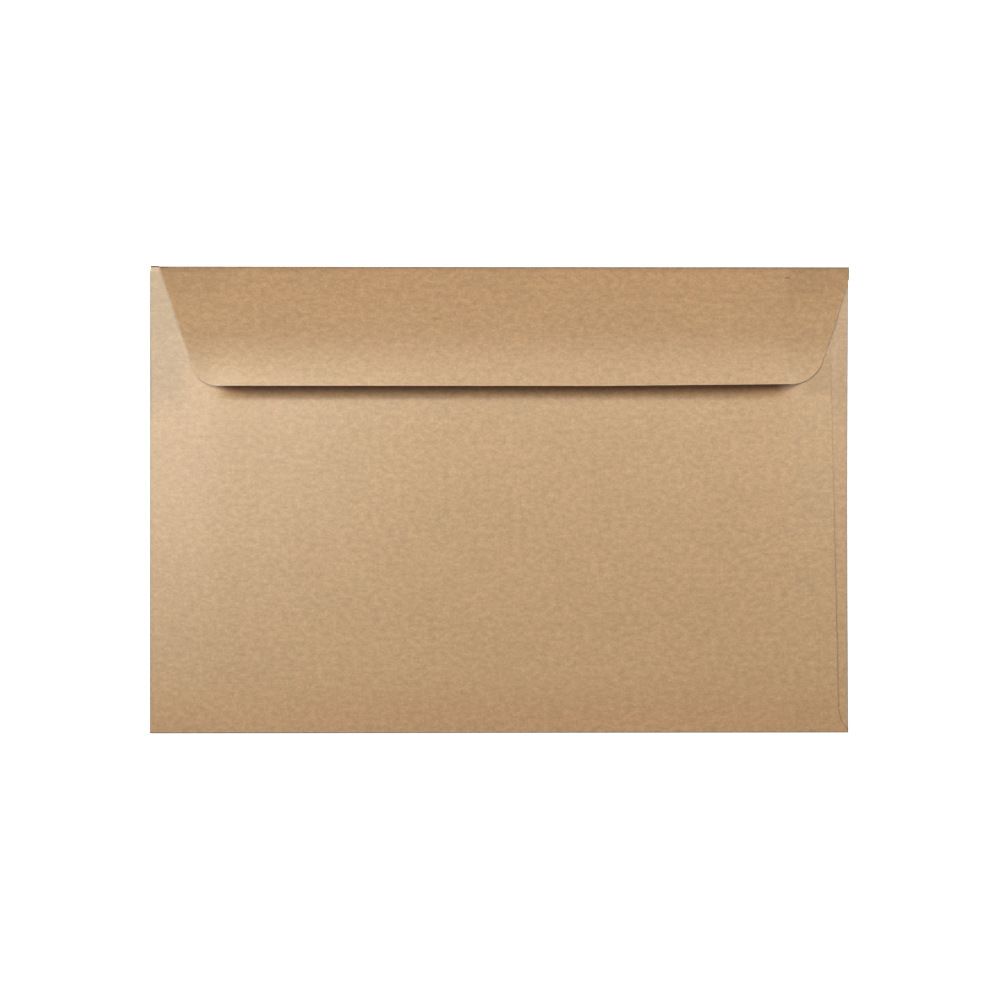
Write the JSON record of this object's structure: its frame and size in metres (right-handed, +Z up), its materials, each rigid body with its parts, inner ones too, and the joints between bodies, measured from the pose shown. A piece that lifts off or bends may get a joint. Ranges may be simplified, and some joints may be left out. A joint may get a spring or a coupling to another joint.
{
  "type": "paper envelope",
  "caption": "Brown paper booklet envelope with side seams and a wide seal flap along one long edge, folded from a single sheet and lying flap side up.",
  "frame": {"origin": "middle of the folded outline, on the plane that the address panel lies on", "axes": "+X along the long edge, to the right when the flap side is seen from above with the flap at the top; +Y from the bottom fold to the top fold; +Z up, out of the flap side"},
  "size_m": [0.2289, 0.1527, 0.0016],
  "materials": {
    "brown_paper": "machine-glazed brown paper, matt with a soft sheen, fine fibres along the long edge"
  },
  "bodies": {
    "root": {"folded_sheet": "brown_paper"}
  },
  "joints": []
}
